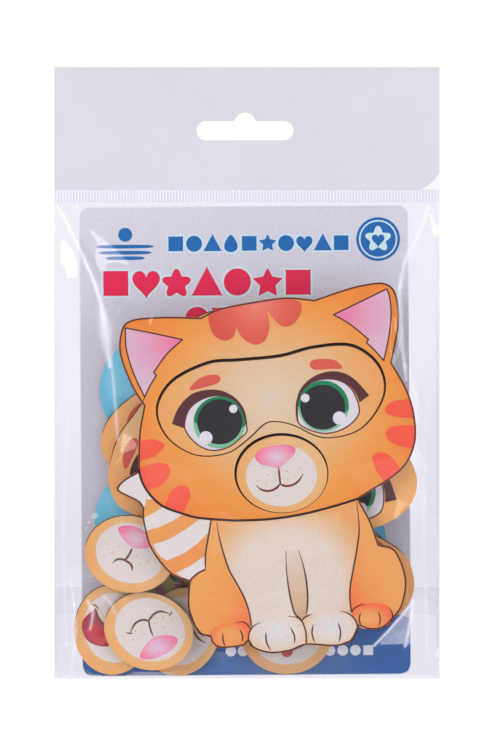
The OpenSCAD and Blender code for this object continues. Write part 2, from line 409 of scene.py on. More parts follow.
def smooth(p, n=6, closed=False):
    """Catmull-Rom through the points."""
    p = [np.array(q, float) for q in p]
    if closed:
        q = [p[-1]] + p + [p[0], p[1]]
    else:
        q = [2 * p[0] - p[1]] + p + [2 * p[-1] - p[-2]]
    out = []
    for i in range(1, len(q) - 2):
        a, b, c, d = q[i - 1 : i + 3]
        for k in range(n):
            t = k / n
            bend = (2 * a - 5 * b + 4 * c - d) * t * t
            twist = (3 * b - a - 3 * c + d) * t**3
            out.append(0.5 * (2 * b + (c - a) * t + bend + twist))
    if not closed:
        out.append(p[-1])
    return out


def ring(c, a, b=None, lean=0, n=48):
    b = b or a
    u = np.linspace(0, 2 * np.pi, n, endpoint=False)
    x, z = a * np.cos(u), b * np.sin(u)
    s, k = math.sin(math.radians(lean)), math.cos(math.radians(lean))
    return [np.array((c[0] + X * k - Z * s, c[1] + X * s + Z * k)) for X, Z in zip(x, z)]


class Ink:
    """Flat printed shapes on one face at depth y (mm), gathered into one piece that rides a body."""

    def __init__(self, name, body, y, slot, turn=None):
        self.name, self.body, self.y, self.slot = name, body, y, slot
        self.v, self.f, self.k, self.mats = [], [], [], []
        self.turn = turn

    def _index(self, key):
        m = M[key] if isinstance(key, str) else key
        if m not in self.mats:
            self.mats.append(m)
        return self.mats.index(m)

    def _put(self, pts, tris, key, level):
        n, k = len(self.v), self._index(key)
        for p in pts:
            x, z = self.turn(p) if self.turn else (p[0], p[1])
            self.v.append((x * MM, (self.y - level * STEP) * MM, z * MM))
        for t in tris:
            a, b, c = [np.array(self.v[n + i]) for i in t]
            if np.linalg.norm(np.cross(b - a, c - a)) < 1e-14:
                continue
            up = np.cross(b - a, c - a)[1] < 0
            self.f.append(tuple(n + i for i in (t if up else t[::-1])))
            self.k.append(k)

    def fill(self, pts, key, level, curve=0, closed=True):
        if curve:
            pts = smooth(pts, curve, closed)
        tris = tessellate_polygon([[Vector((p[0], p[1], 0)) for p in pts]])
        self._put(pts, tris, key, level)

    def stroke(self, pts, width, key, level, curve=6, closed=False, taper=(0.0, 0.0), centre=0.0):
        """A line of that width, thinning to its ends over the share taper."""
        p = np.array(smooth(pts, curve, closed) if curve else pts, float)
        m = len(p)
        if closed:
            t = np.roll(p, -1, 0) - np.roll(p, 1, 0)
        else:
            t = np.gradient(p, axis=0)
        t /= np.maximum(np.linalg.norm(t, axis=1), 1e-9)[:, None]
        nrm = np.c_[-t[:, 1], t[:, 0]]
        s = np.linspace(0, 1, m)
        w = np.full(m, width / 2.0)
        if not closed:
            if taper[0]:
                w *= np.clip(s / taper[0], 0.25, 1) ** 0.7
            if taper[1]:
                w *= np.clip((1 - s) / taper[1], 0.25, 1) ** 0.7
        left, right = p + nrm * (w[:, None] + centre), p - nrm * (w[:, None] - centre)
        pts2 = np.vstack([left, right])
        tris = []
        for i in range(m if closed else m - 1):
            j = (i + 1) % m
            tris += [(i, j, m + i), (j, m + j, m + i)]
        self._put(pts2, tris, key, level)

    def dot(self, c, r, key, level, b=None, lean=0, n=32):
        self.fill(ring(c, r, b, lean, n), key, level)

    def build(self):
        me = bpy.data.meshes.new(self.name)
        me.from_pydata(self.v, [], self.f)
        for m in self.mats:
            me.materials.append(m)
        for poly, k in zip(me.polygons, self.k):
            poly.material_index = k
        me.update()
        o = bpy.data.objects.new(self.name, me)
        bpy.context.scene.collection.objects.link(o)
        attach(o, self.body)
        return o


def edge_of(node, inset=0.0):
    """A CAD node's outline on its front face, in order, moved in by inset (mm)."""
    me = NODES[node].data
    v = np.array([q.co for q in me.vertices]) / MM
    y0 = v[:, 1].min()
    front = [p for p in me.polygons if all(abs(v[i][1] - y0) < 0.01 for i in p.vertices)]
    count = {}
    key = {}
    for p in front:
        vs = list(p.vertices)
        for a, b in zip(vs, vs[1:] + vs[:1]):
            ka, kb = tuple(np.round(v[a][[0, 2]], 3)), tuple(np.round(v[b][[0, 2]], 3))
            key[ka], key[kb] = ka, kb
            e = (ka, kb)
            if (kb, ka) in count:
                del count[(kb, ka)]
            else:
                count[e] = 1
    nxt = {}
    for a, b in count:
        nxt.setdefault(a, []).append(b)
    loops = []
    while nxt:
        a = next(iter(nxt))
        l = [a]
        while True:
            c = nxt.get(l[-1])
            if not c:
                break
            b = c.pop()
            if not c:
                del nxt[l[-1]]
            if b == l[0]:
                break
            l.append(b)
        loops.append(np.array(l))
    loops.sort(key=lambda l: -np.ptp(l[:, 0]) * np.ptp(l[:, 1]))
    res = []
    for l in loops:
        t = np.roll(l, -1, 0) - np.roll(l, 1, 0)
        t /= np.maximum(np.linalg.norm(t, axis=1), 1e-9)[:, None]
        area2 = np.sum(l[:, 0] * np.roll(l[:, 1], -1) - l[:, 1] * np.roll(l[:, 0], -1))
        s = 1 if area2 > 0 else -1
        res.append(l + s * inset * np.c_[-t[:, 1], t[:, 0]])
    return res


# ---------------------------------------------------------------- kitten board

FACE_Y = box_mm("kitten_face_layer")[0][1]
board = Ink("kitten_print", "kitten_board", FACE_Y, "kitten_print")

# body, over the orange ground
body = [(-11, -129.4), (-4, -130.4), (8.4, -129.8), (18.4, -128.3), (28.4, -125.8), (36.6, -123.4),
    (37.4, -130), (37.2, -136), (36.3, -141), (35.2, -146), (34.3, -151), (34.1, -156), (34.8, -161),
    (33, -166), (20, -166), (8, -167), (2.4, -165.5), (1.6, -160), (-0.3, -155), (-3, -150), (-5.2, -146),
    (-7.2, -140), (-8.5, -135), (-9.2, -130.5)]
board.fill(body, "cream", 1)
# left thigh
thigh_l = [(-11.0, -130.0), (-9.2, -130.2), (-8.5, -135), (-7.2, -140), (-5.2, -146), (-3, -150),
    (-0.3, -155),
    (1.5, -160), (2.1, -164.6), (-1, -168), (-9, -168), (-13.5, -167.2), (-16.6, -163.6), (-18.1, -159),
    (-18.2, -154.8), (-17.6, -150.5), (-15.5, -147.6), (-12.9, -146.1), (-12.8, -141), (-12, -136)]
board.fill(thigh_l, "thigh_l", 2)
# right thigh
thigh_r = [(36.2, -123.7), (38.3, -126.5), (40.8, -131.2), (43.1, -137.8), (45.8, -138.5),
    (48.7, -140.2), (51.0, -143.9),
    (52.1, -149.2), (52.0, -154.1), (50.5, -158.1), (47.5, -161.9), (41, -164.8), (36.9, -163),
        (34.6, -160),
    (34.1, -155), (34.3, -151), (35.2, -146), (36.3, -140), (37.1, -134), (36.9, -129)]
board.fill(thigh_r, "thigh_r", 2)
# paws
board.fill([(-11.2, -168.2), (-10.9, -166), (-8.6, -164.4), (-5, -163.5), (-1, -163.4), (1.6, -165),
    (1.7, -167.6), (0.8, -169.3),
    (-0.9, -170.6), (-4.2, -171.4), (-7.4, -171.2), (-10.1, -169.9)], "hind_l", 3, 4)
board.fill([(34.9, -160.4), (35.8, -158.4), (38.4, -157.3), (41.8, -157), (45.6, -157.4),
    (47.6, -159.4), (48, -162),
    (46.8, -164.1), (43.9, -165), (40.9, -165.3), (37.6, -165), (36.4, -163)], "hind_r", 3, 4)
board.fill([(1.4, -168.8), (1.5, -166.6), (2.7, -164.7), (5, -163.4), (9, -161.8), (14, -161.2),
    (17.2, -161.6), (19, -163.4),
    (20, -166.6), (19.9, -169.6), (17.6, -171.2), (14.7, -172.2), (8.5, -172.9), (3.2, -171.4)],
        "paw_l", 4, 4)
board.fill([(18.4, -162.6), (19.8, -161.3), (22.4, -160.3), (27, -159.6), (31.6, -159.6),
    (34.4, -160.9), (36.2, -163.2), (36.5, -165.4),
    (35.3, -167.8), (33.1, -169.7), (28.3, -170.6), (23.4, -170.6), (20.4, -170.0), (20.2, -166.4)],
        "paw_r", 4, 4)
# groove between the front legs
groove = [(13.3, -140), (13.5, -146), (14.2, -152), (15.3, -157.5), (16.4, -160.6), (18.3, -162.2),
    (20, -160.8),
    (20.4, -156), (20.0, -150), (18.9, -144.5), (17.4, -139.8)]
board.fill(groove, "groove", 2)
for pts, w, tp in [
    (groove[:6], 0.55, (0.5, 0.1)), (groove[6:][::-1], 0.55, (0.5, 0.1)),
    ([(-9.2, -130.5), (-8.5, -135), (-7.2, -140), (-5.2, -146), (-3, -150), (-0.3, -155), (1.4, -160),
        (2.1, -164.4)], 0.5, (0.25, 0)),
    ([(36.3, -123.9), (36.9, -129), (37.1, -134), (36.3, -140), (35.2, -146), (34.3, -151),
        (34.1, -155), (34.6, -160)], 0.5, (0.35, 0)),
    ([(-11, -129.8), (-12, -136), (-12.8, -141), (-12.9, -146)], 0.5, (0, 0.1)),
    ([(-12.9, -146), (-15.6, -147.5), (-17.9, -150), (-18.3, -154.8), (-18.1, -159.2), (-16.9, -163),
        (-14.6, -166.4), (-11.3, -168)], 0.55, (0, 0.2)),
    ([(5.1, -163.2), (2.6, -164.6), (1.3, -167), (1.4, -169.4), (3, -171.4), (8.4, -173.0),
        (14.9, -172.2), (17.6, -171.2), (19.7, -170.3)], 0.5, (0.15, 0)),
    ([(14, -161.2), (17, -161.7), (18.7, -163.2), (19.8, -166.5), (19.9, -169.9)], 0.5, (0.4, 0)),
    ([(18.3, -162.9), (19.6, -161.5), (21.8, -160.5)], 0.5, (0, 0.3)),
    ([(31, -159.5), (33.6, -160.3), (35.6, -162.1), (36.6, -164.6), (36.2, -166.8), (34.6, -169.0),
        (31, -170.3)], 0.5, (0.2, 0.1)),
    ([(6.8, -166.4), (7.0, -169.6), (8.4, -172.4)], 0.5, (0.15, 0.25)),
        ([(14.8, -164.9), (16.1, -167.6), (16.1, -170.2)], 0.5, (0.2, 0.2)),
    ([(22.2, -163.8), (21.8, -166.8), (22.7, -169.9)], 0.5, (0.2, 0.2)),
        ([(30.3, -163.2), (31.1, -166.4), (30.6, -169.7)], 0.5, (0.2, 0.2)),
    ([(-7.2, -166.8), (-7.1, -169), (-6.5, -171)], 0.45, (0.2, 0.2)),
        ([(-1.7, -165.5), (-0.8, -167.4), (-0.9, -169.6)], 0.45, (0.2, 0.2)),
    ([(-3, -163.2), (-0.6, -163.1), (0.9, -164), (1.6, -165.2)], 0.45, (0.4, 0)),
    ([(37.6, -160), (37.1, -162.4), (37.9, -164.6)], 0.45, (0.2, 0.2)),
        ([(43.4, -159.7), (44, -162), (43.6, -164.4)], 0.45, (0.2, 0.2)),
    ([(34.7, -160), (35.5, -158.7), (37.4, -157.6), (39, -157.4)], 0.45, (0, 0.5)),
    ([(46.6, -158), (47.8, -160), (47.9, -162.3), (46.6, -164.2), (44.4, -164.8)], 0.45, (0.3, 0.2)),
]:
    board.stroke(pts, w, "outline", 5, taper=tp)

# tail with its bands
tail = [(-12.0, -130.0), (-14.9, -129.6), (-20.4, -128.2), (-26.7, -125.6), (-30.7, -122),
    (-33.2, -118), (-34.3, -114.8),
    (-38.6, -116.8), (-40.6, -118.8), (-41.0, -120.3), (-37.8, -121.9), (-35, -123.4), (-33.0, -126),
        (-32.9, -130.2),
    (-32.3, -134.6), (-30.4, -139), (-27.6, -143), (-24.2, -147), (-21.5, -148.2), (-18.2, -149.4),
        (-16, -147.3), (-13.0, -146),
    (-12.9, -141), (-12.1, -136)]
board.fill(tail, "tail_o", 1)
board.fill([(-34.4, -114.6), (-38.6, -116.8), (-40.6, -118.8), (-41.0, -120.3), (-37.8, -121.9),
    (-35, -123.4), (-33.1, -126),
    (-32.3, -125), (-32.2, -123.2), (-29.6, -123.4), (-29.0, -123.9), (-30.8, -121.7), (-33.2, -117.8)],
        "tail_c", 2)
board.fill([(-33.0, -129.4), (-29.6, -127.6), (-26.6, -125.7), (-20.4, -128.1), (-23, -130),
    (-28, -132.3), (-32.8, -133.6)], "tail_c", 2)
board.fill([(-29.9, -137.9), (-24.5, -136.1), (-19.6, -133.2), (-14.8, -129.7), (-10.9, -130.0),
    (-11.6, -133.6), (-15, -137.3),
    (-20, -140.9), (-25.4, -143.1), (-27.4, -141.9), (-29.0, -139.7)], "tail_c", 2)
board.fill([(-22.4, -147.1), (-18, -145), (-13.2, -141.7), (-12.9, -146), (-15.6, -147.4),
    (-17.9, -149.4), (-20.6, -148.5)], "tail_c", 2)

# head outline over the body, cheeks, crown and ears
jaw = [(37.2, -122.9), (28.4, -125.6), (18.4, -128.1), (8.4, -129.6), (-1.6, -130.1), (-5.2, -130.0),
    (-14.6, -129.3), (-20.2, -127.9),
    (-26.6, -125.5), (-30.7, -121.9), (-33.3, -117.8), (-34.6, -113.4)]
board.stroke(jaw, 0.75, "dark", 6)
edge = edge_of("kitten_face_layer", 0.32)[0]
board.stroke(edge, 0.5, "outline", 6, curve=0, closed=True)
for pts in (
    [(-34.4, -104.3), (-29.9, -103.7), (-26.8, -104.8), (-26.3, -106.3), (-29.2, -109.2), (-34.3, -110.9)],
    [(-34.2, -112.9), (-29.2, -111.4), (-25.5, -111.7), (-24.3, -114.0), (-26.2, -117.8),
        (-31.4, -120.4), (-33.4, -117)],
    [(-26.2, -125.3), (-24.0, -120.7), (-20.9, -118.6), (-18.3, -119.7), (-17.7, -122.3), (-20.0, -127.7)],
    [(53.6, -90.6), (48.4, -91.3), (45.5, -93.8), (47.6, -96.1), (54.9, -97.0), (54.8, -93.5)],
    [(55.2, -99.0), (48.4, -99.4), (45.8, -101.4), (47.6, -104.8), (54.3, -106.9), (55.2, -103)],
    [(41.2, -109.6), (43.0, -108.0), (46.5, -108.6), (50.4, -113.3), (48, -116), (45.6, -117.8),
        (42.6, -113.8)],
):
    # the ends on the outline stay square, the inner end is round
    board.fill(smooth(pts[:-1], 5) + [np.array(pts[-1])], "coral", 3)
board.fill(
    smooth([(-11.9, -62.9), (-11.7, -66), (-10, -70), (-6.6, -71.7), (-3.8, -70.4), (-2.8, -67.3)], 5)
    + smooth([(-2.8, -67.3), (-1, -70.6), (2, -72.6), (4.2, -72.9), (6.6, -71.5), (7.8, -68.5),
        (7.9, -65.5), (7.1, -61.7)], 5)
    + smooth([(7.1, -61.7), (9, -64.2), (11.5, -66.6), (13.6, -67.1), (16.2, -65.8), (18.2, -62.5),
        (18.3, -59.6), (16.6, -58.4)], 5)
    + [np.array(q) for q in ((13.8, -57.9), (4.9, -59.0), (-1.8, -60.0), (-8.1, -61.5))],
    "scallop", 3)
ear_l = smooth([(-38.9, -67.5), (-29.6, -69.3), (-20.3, -71.3)],
    5) + smooth([(-20.3, -71.3), (-25.4, -76.0), (-29.7, -82.0)], 6) \
    + smooth([(-29.7, -82.0), (-28.8, -82.9)], 2) + smooth([(-28.8, -82.9), (-30.8, -86.2),
        (-32.6, -90.0)], 5) \
    + smooth([(-32.6, -90.0), (-36.3, -82), (-38.6, -74.2), (-38.9, -67.5)], 6)
ear_r = smooth([(46.1, -54.8), (37.5, -59), (28.8, -63.2)],
    5) + smooth([(28.8, -63.2), (34.0, -66.2), (40.2, -71.2)], 6) \
    + smooth([(40.2, -71.2), (39.5, -72.2)], 2) + smooth([(39.5, -72.2), (42.4, -75), (45.1, -78.1)], 5) \
    + smooth([(45.1, -78.1), (46.8, -70.2), (47.5, -62.7), (47.0, -57.4), (46.1, -54.8)], 6)
for pts, key in ((ear_l, "ear_l"), (ear_r, "ear_r")):
    board.fill(pts, key, 3)
    board.stroke(pts, 0.45, "outline", 4, curve=0, closed=True)
# ears' creases
board.stroke([(-32.6, -90.0), (-33.6, -92.3)], 0.3, "line", 4, curve=0, taper=(0, 0.6))

# ---------------------------------------------------------------- eyes, used on all six inserts

EYE_AT = np.array((8.3, -91.35))
lid_l = smooth([(-23.7, -98.7), (-22.4, -95), (-20.3, -91.7), (-17.2, -89), (-13, -87.7), (-8.5, -87.7),
    (-4.8, -89.1),
    (-2.2, -91.2), (-0.3, -94), (0.6, -97.5), (0.8, -101.3)],
        5) + smooth([(0.8, -101.3), (0.1, -98), (-0.9, -94.7), (-2.8, -91.8),
    (-5.6, -90.1), (-9.5, -89.6), (-13.3, -90.5), (-16.7, -92.5), (-18.9, -95.3), (-19.7, -98.5),
        (-19.9, -100.1)], 5)
white_l = [(-19.6, -98.5), (-18.7, -95), (-16.6, -92.3), (-13.3, -90.4), (-9.5, -89.5), (-5.5, -90),
    (-2.7, -91.7), (-0.8, -94.6),
    (0.2, -98), (0.6, -101.2), (-1.6, -103.4), (-4.7, -105.9), (-8.2, -107.1), (-11.5, -107.2),
        (-15, -105.7), (-17.9, -103), (-19.4, -100.5)]
lid_r = smooth([(17.0, -98.4), (16.5, -95), (16.7, -91.3), (18, -87.5), (20.5, -84.6), (24, -82.5),
    (28.5, -81.6), (32.5, -82.3),
    (36, -84.5), (38.5, -87.2), (40.4, -89.4)],
        5) + smooth([(37.3, -91.7), (36.3, -89.3), (34.5, -86.8), (32, -85), (28.5, -84.2),
    (24.5, -84.3), (21, -85.6), (18.7, -88), (17.4, -91.2), (17.2, -95)], 5)
white_r = [(17.0, -95.5), (17.3, -91), (18.8, -87.8), (21.4, -85.4), (25, -84.2), (29, -84.2),
    (32.4, -85.4), (34.9, -87.8), (36.5, -91),
    (37.2, -94), (36.8, -95.9), (35, -98.2), (32, -100.3), (28.5, -101.5), (25, -101.7), (21, -100.6),
        (17.7, -98.7)]
brow_l = [(-18.0, -87.7), (-16.4, -85.1), (-13.1, -83.1), (-9.3, -82.7), (-7.9, -84.1), (-9.3, -85.7),
    (-13.9, -87.0)]
brow_r = [(31.7, -80.6), (29.3, -78.0), (25.5, -77.6), (22.2, -77.9), (21.0, -79.4), (22.6, -81.1),
    (27.5, -80.8)]


def draw_eyes(k, lift=0.0):
    """Both eyes and brows on an eye insert, in its own frame, the brows raised by lift."""
    L = lambda pts: [np.array(p) - EYE_AT for p in pts]
    for white, lid, iris, ri, pup, rp, small, rs, big, rb in (
        (white_l, lid_l, (-8.28, -98.2), 8.45, (-8.2, -98.0), 7.35, (-3.8, -93.8), 1.35,
            (-12.7, -103.2), 2.15),
        (white_r, lid_r, (25.5, -92.9), 8.3, (25.3, -93.3), 7.3, (19.6, -90.3), 1.4, (30.7, -96.8), 2.15),
    ):
        k.fill(L(white), "white", 1, 4)
        k.dot(L([iris])[0], ri, "green", 2, n=64)
        # lighter lower half of the iris, as a crescent under the pupil
        a = np.radians(np.linspace(-205, 15, 40))
        c = L([iris])[0]
        arc = [c + ri * 0.995 * np.array((math.cos(u), math.sin(u))) for u in a]
        c2 = L([pup])[0]
        back = [c2 + (rp - 0.2) * np.array((math.cos(u), math.sin(u))) for u in a[::-1]]
        k.fill(arc[4:-4] + back[6:-6], "green_light", 3)
        k.dot(L([pup])[0], rp, "pupil", 4, n=64)
        k.dot(L([small])[0], rs, "spark", 5)
        k.dot(L([big])[0], rb, "spark", 5)
        k.stroke(L(white), 0.42, "eyeline", 5, curve=4, closed=True)
        k.fill(L(lid), "maroon", 6)
    for b in (brow_l, brow_r):
        k.fill([q + np.array((0, lift)) for q in L(b)], "brow", 1, 4)


def turner(node, angle, local):
    """Where a point of the insert's own frame lies in the row frame, from the node's packed box."""
    a = math.radians(angle)
    R = np.array(((math.cos(a), -math.sin(a)), (math.sin(a), math.cos(a))))
    p = local @ R.T
    mid = (p.min(0) + p.max(0)) / 2
    lo, hi = box_mm(node)
    at = np.array(((lo[0] + hi[0]) / 2, (lo[2] + hi[2]) / 2)) - mid
    return lambda q: R @ np.array(q, float) + at


def dark_run(rim, angle=0.0):
    """The longest part of a closed rim that faces up and a little left once turned by angle."""
    t = np.roll(rim, -1, 0) - np.roll(rim, 1, 0)
    after = np.roll(rim, -1, 0)
    turning = np.sign((rim[:, 0] * after[:, 1] - after[:, 0] * rim[:, 1]).sum())
    outward = turning * np.c_[t[:, 1], -t[:, 0]]
    up = math.radians(100 - angle)
    share = outward @ np.array((math.cos(up), math.sin(up))) / np.maximum(np.linalg.norm(outward,
        axis=1), 1e-9)
    facing = share > 0.34
    best = []
    for start in np.flatnonzero(facing & ~np.roll(facing, 1)):
        run = []
        while facing[(start + len(run)) % len(rim)] and len(run) < len(rim):
            run.append((start + len(run)) % len(rim))
        best = max(best, run, key=len)
    return rim[best]


eye_local = edge_of("eye_insert_1")[0] - EYE_AT
eye_rim = edge_of("eye_insert_1", 0.15)[0] - EYE_AT
EYES = {1: 0, 2: 15.3, 3: 50.2, 4: -22.6, 5: -50.1, 6: -36.1}
for i, angle in EYES.items():
    node = f"eye_insert_{i}"
    T = turner(node, angle, eye_local)
    k = Ink(f"eye_print_{i}", node, box_mm(node)[0][1], "eye_print", T)
    draw_eyes(k, 2.8 if i == 6 else 0.0)
    # a dark line round the rim of the board's insert; on the loose inserts only along the part of the rim
    # that faces up and a little left
    if i == 1:
        k.stroke(eye_rim, 0.28, "dark_rim", 1, curve=0, closed=True)
    else:
        k.stroke(dark_run(eye_rim, angle), 0.3, "dark_rim", 1, curve=0, taper=(0.04, 0.06))
    k.build()
    c = T((0, 1))
    far = 40 if i == 1 else 36
    stops = [(0.0, (229, 210, 184)), (0.3, (231, 200, 162)), (0.75, (240, 176, 108)), (1.0, (242, 162, 84))]
    # the loose inserts get a brighter copy of the same print: painted light against the shade of the pile
    # and the film
    if i != 1:
        stops = [(0.0, (244, 222, 186)), (0.35, (248, 208, 154)), (0.75, (250, 184, 116)),
            (1.0, (250, 180, 106))]
    EYES[i] = printed(f"ink_eye_ground_and_painted_light_{i}", radial(c, (far, far * 0.9), stops), edge=True)

# ---------------------------------------------------------------- muzzles

nose = [(3.3, -109.8), (4.2, -107.7), (7, -106.2), (11, -105.6), (14.5, -105.6), (16.3, -106.6),
    (16.1, -108.4), (14.2, -110.5),
    (11.2, -112.8), (8.5, -112.6), (5.2, -111.8)]


def pink(name, c, r=7.0):
    return printed(name, radial(c, (r, r * 0.72),
        [(0, (228, 206, 218)), (0.35, (236, 180, 204)), (0.85, (246, 130, 166)), (1, (247, 118, 156))]))


def muzzle(i, inner, draw):
    node = f"muzzle_insert_{i}"
    lo, hi = box_mm(node)
    k = Ink(f"muzzle_print_{i}", node, lo[1], "muzzle_print")
    c = np.array(((lo[0] + hi[0]) / 2, (lo[2] + hi[2]) / 2))
    k.dot(c + np.array(inner[0]), inner[1], "muzzle_in", 1, b=inner[2], lean=inner[3], n=72)
    draw(k)
    # a dark line round the rim of the board's insert; on the loose inserts only along the part of the rim
    # that faces up and a little left
    if i == 1:
        k.stroke(edge_of(node, 0.06)[0], 0.12, "dark_rim", 1, curve=0, closed=True)
    else:
        k.stroke(dark_run(edge_of(node, 0.12)[0]), 0.24, "dark_rim", 1, curve=0, taper=(0.04, 0.06))
    k.build()


def mouth_1(k):
    k.fill(nose, pink("ink_nose_1", (10.4, -109.6)), 2, 5)
    k.stroke([(10.9, -112.7), (11.2, -115.4), (11.5, -118.3)], 0.62, "mouth_line", 2, taper=(0.25, 0))
    k.stroke([(3.7, -118.7), (5.4, -120.1), (7.8, -120.5), (10, -119.7), (11.5, -118.2)], 0.72,
        "mouth_line", 3, taper=(0.35, 0.1))
    k.stroke([(11.4, -118.2), (13.3, -118.9), (15.8, -118.4), (17.7, -116.9), (18.9, -114.9)], 0.72,
        "mouth_line", 3, taper=(0.1, 0.35))
    for p in ((7.4, -115.2), (4.0, -117.2), (6.9, -118.4), (10.0, -116.9), (13.6, -114.1),
        (17.8, -112.9), (16.4, -115.6), (13.9, -116.7)):
        k.dot(p, 0.34, "freckle", 2, n=14)


def mouth_2(k):
    k.fill([(-41.4, -133.4), (-40.2, -132.0), (-36.2, -132.2), (-32.8, -133.9), (-30.6, -136.6),
        (-31.2, -139.0), (-35.8, -139.3),
        (-39.2, -137.0)], pink("ink_nose_2", (-35.6, -136.2), 6.6), 2, 5)
    k.stroke([(-36.8, -139.4), (-37.8, -141.4), (-39.2, -143.3)], 0.75, "mouth_brown", 2, taper=(0.1, 0.1))
    k.stroke([(-43.2, -144.2), (-42, -143.1), (-40.4, -142.9), (-39, -143.3)], 0.7, "mouth_brown", 3,
        taper=(0.4, 0.1))
    k.stroke([(-39.4, -143.2), (-37.8, -144.1), (-36.9, -145.3), (-36.8, -146.8)], 0.75, "mouth_brown",
        3, taper=(0.1, 0.3))
    for p in ((-45, -138), (-41, -138.8), (-43.3, -140.9), (-35.5, -141.8), (-31.6, -143.4),
        (-34.4, -144.7), (-37, -144.2), (-46.1, -141.8)):
        k.dot(p, 0.34, "freckle", 2, n=14)


def mouth_3(k):
    k.fill([(-43.6, -159.6), (-42.6, -157.8), (-40.6, -157.4), (-38.4, -158.6), (-37.4, -161.4),
        (-39.2, -163.2), (-42.2, -162.2)],
        pink("ink_nose_3", (-40, -160.4), 5.5), 2, 5)
    k.fill(smooth([(-48.9, -159.3), (-51.2, -161), (-53.1, -163.2), (-53.4, -166), (-52.1, -169.3),
        (-49.3, -171.2), (-45.4, -171.8), (-41.6, -170.8)], 5)
        + smooth([(-41.6, -170.8), (-42.8, -167.2), (-45.4, -165.0), (-47.6, -163.2), (-48.9, -159.3)],
            5)[:-1], "mouth_red", 2)
    k.fill([(-51.8, -166.4), (-49.8, -164.2), (-46.6, -166.2), (-44.2, -169.6), (-47.2, -171),
        (-50.4, -169.6)], "tongue", 3, 4)
    k.stroke([(-50.2, -157.9), (-48.9, -158.4), (-47.8, -159.6)], 0.45, "mouth_brown", 4, taper=(0.3, 0.3))
    k.stroke([(-48.9, -159.2), (-48.2, -161.8), (-46.4, -164.2), (-43.4, -166)], 0.55, "mouth_brown", 4,
        taper=(0.2, 0.1))
    for p in ((-45.2, -162.4), (-42.6, -164.6), (-47.4, -155.6), (-50.8, -156.4)):
        k.dot(p, 0.34, "freckle", 2, n=14)


def mouth_4(k):
    k.fill([(-34.4, -175.0), (-33.6, -172.7), (-31.5, -169.9), (-28.7, -168.2), (-25.5, -167.9),
        (-22.8, -168.4), (-22, -169.9), (-23.6, -172.3),
        (-26.3, -174.2), (-29.9, -175.6), (-32.7, -175.8)], pink("ink_nose_4", (-28.6, -171.8), 7.2), 2, 5)
    k.stroke([(-30.0, -168.4), (-30.9, -166.0), (-31.5, -163.2)], 0.6, "mouth_brown", 2, taper=(0.3, 0))
    k.stroke([(-31.3, -163.2), (-33.6, -162.9), (-36.0, -164.2), (-37.6, -167.2)], 0.7, "mouth_brown",
        3, taper=(0.1, 0.3))
    k.stroke([(-31.6, -163.3), (-30, -161.2), (-27.6, -160.1), (-24.6, -160.9)], 0.7, "mouth_brown", 3,
        taper=(0.1, 0.3))
    k.stroke([(-38.9, -166.9), (-37.8, -167.3), (-36.6, -167.2)], 0.45, "mouth_brown", 4, taper=(0.4, 0.4))
    k.stroke([(-23.9, -159.9), (-24.2, -160.9), (-25.0, -161.7)], 0.45, "mouth_brown", 4, taper=(0.4, 0.4))
    for p in ((-35.9, -166.6), (-33.8, -165.1), (-33.0, -167.6), (-36.7, -169.5), (-29.6, -164),
        (-26.8, -162.1), (-23.8, -162.7), (-26.8, -165.3)):
        k.dot(p, 0.34, "freckle", 2, n=14)


def mouth_5(k):
    k.fill([(-24.6, -176.4), (-22.8, -177.4), (-21.2, -176.9), (-20.6, -174.4), (-21.6, -171.8),
        (-24.4, -171.6), (-26.0, -174.0)],
        pink("ink_nose_5", (-23.4, -174.2), 4.5), 2, 5)
    k.stroke([(-20.4, -164.2), (-18.4, -164.8), (-17.0, -166.8), (-15.2, -169.4), (-12.9, -170.8)], 0.8,
        "mouth_brown", 2, taper=(0.3, 0.3))
    for p in ((-18.4, -172.2), (-15.2, -171.9), (-15.7, -175.4), (-17.3, -169), (-20.2, -160.8),
        (-17.2, -158.2)):
        k.dot(p, 0.34, "freckle", 2, n=14)


def mouth_6(k):
    k.fill([(p[0] + 3.2, p[1] - 53.4) for p in nose], pink("ink_nose_6", (13.6, -163), 6.8), 2, 5)
    k.dot((13.8, -173.3), 1.95, "mouth_red", 2, b=2.2)
    k.dot((13.8, -173.9), 1.1, "tongue", 3, b=1.2)
    for p in ((6.9, -170.4), (9.4, -172.6), (18.2, -172.4), (20.6, -170.2)):
        k.dot(p, 0.34, "freckle", 2, n=14)


muzzle(1, ((-0.15, -0.55), 11.6, 9.9, 4), mouth_1)
muzzle(2, ((0.2, 0.3), 11.4, 9.8, -14), mouth_2)
muzzle(3, ((0.3, 0.6), 11.4, 9.7, 96), mouth_3)
muzzle(4, ((0.4, 0.4), 11.7, 10.1, 158), mouth_4)
muzzle(5, ((0.2, 0.2), 11.5, 10.0, 70), mouth_5)
muzzle(6, ((0.1, 0.1), 11.4, 9.6, 0), mouth_6)

board.build()

# painted shade on the layer under the cut-outs, darkening the gaps round the inserts
gap_shade = Ink("cut_gap_shade", "kitten_board", box_mm("kitten_base_layer")[0][1], "bare_wood")
for hole in edge_of("kitten_face_layer")[1:]:
    gap_shade.stroke(hole, 2.4, "gap_shade", 1, curve=0, closed=True)
gap_shade.build()

# ---------------------------------------------------------------- wooden CAD nodes


def dress(node, material, bevel=0.12):
    o = NODES[node]
    o.data.materials.clear()
    o.data.materials.append(material)
    for p in o.data.polygons:
        p.material_index = 0
    if bevel:
        b = o.modifiers.new("worn_edge", "BEVEL")
        b.width = bevel * MM
        b.segments = 2
        b.limit_method = "ANGLE"
        b.angle_limit = math.radians(50)
        b.harden_normals = False


